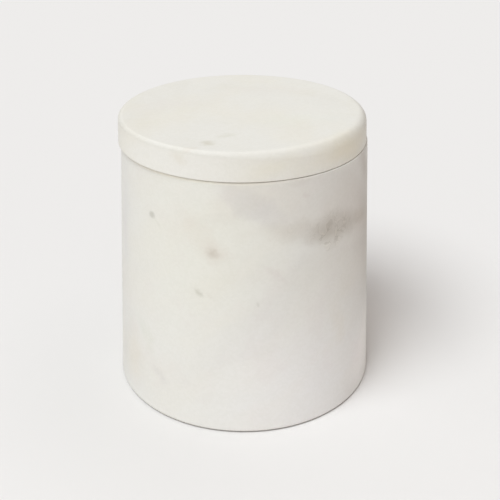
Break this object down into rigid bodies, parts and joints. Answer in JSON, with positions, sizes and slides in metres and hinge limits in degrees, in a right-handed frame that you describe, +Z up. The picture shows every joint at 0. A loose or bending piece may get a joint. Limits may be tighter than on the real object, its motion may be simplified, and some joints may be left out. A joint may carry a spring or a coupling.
{
  "type": "cosmetic cream jar",
  "caption": "Straight-sided marble cream jar with a flat slab lid, a silicone gasket, a drop-in moulded cup, a sealing disc with a pinch grip, and bumper feet.",
  "frame": {"origin": "on the jar's axis, on the surface that its feet stand on", "axes": "+Z up along the jar's axis; +X towards the side where the lid overhangs least; +Y towards the back"},
  "size_m": [0.0972, 0.0968, 0.1],
  "materials": {
    "body_marble": "honed white marble with soft grey clouds",
    "lid_marble": "honed white marble, a little creamier than the body",
    "cup_plastic": "moulded white polypropylene",
    "disc_plastic": "moulded white polyethylene",
    "gasket_silicone": "matt translucent silicone",
    "foot_silicone": "clear silicone, slightly dusty"
  },
  "bodies": {
    "jar": {"jar_body": "body_marble", "foot_1": "foot_silicone", "foot_2": "foot_silicone", "foot_3": "foot_silicone", "foot_4": "foot_silicone"},
    "cup": {"liner_cup": "cup_plastic"},
    "disc": {"sealing_disc": "disc_plastic"},
    "gasket": {"lid_gasket": "gasket_silicone"},
    "lid_slab": {"lid": "lid_marble"}
  },
  "joints": [
    {"name": "liner_lift", "type": "slide", "parent": "jar", "child": "cup", "axis": [0, 0, 1], "range_m": [0, 0.095]},
    {"name": "disc_lift", "type": "slide", "parent": "cup", "child": "disc", "axis": [0, 0, 1], "range_m": [0, 0.04]},
    {"name": "lid_lift", "type": "slide", "parent": "disc", "child": "gasket", "axis": [0, 0, 1], "range_m": [0, 0.05]},
    {"name": "lid_turn", "type": "hinge", "parent": "gasket", "child": "lid_slab", "pos_m": [0, 0, 0.0898], "axis": [0, 0, 1], "continuous": true}
  ]
}
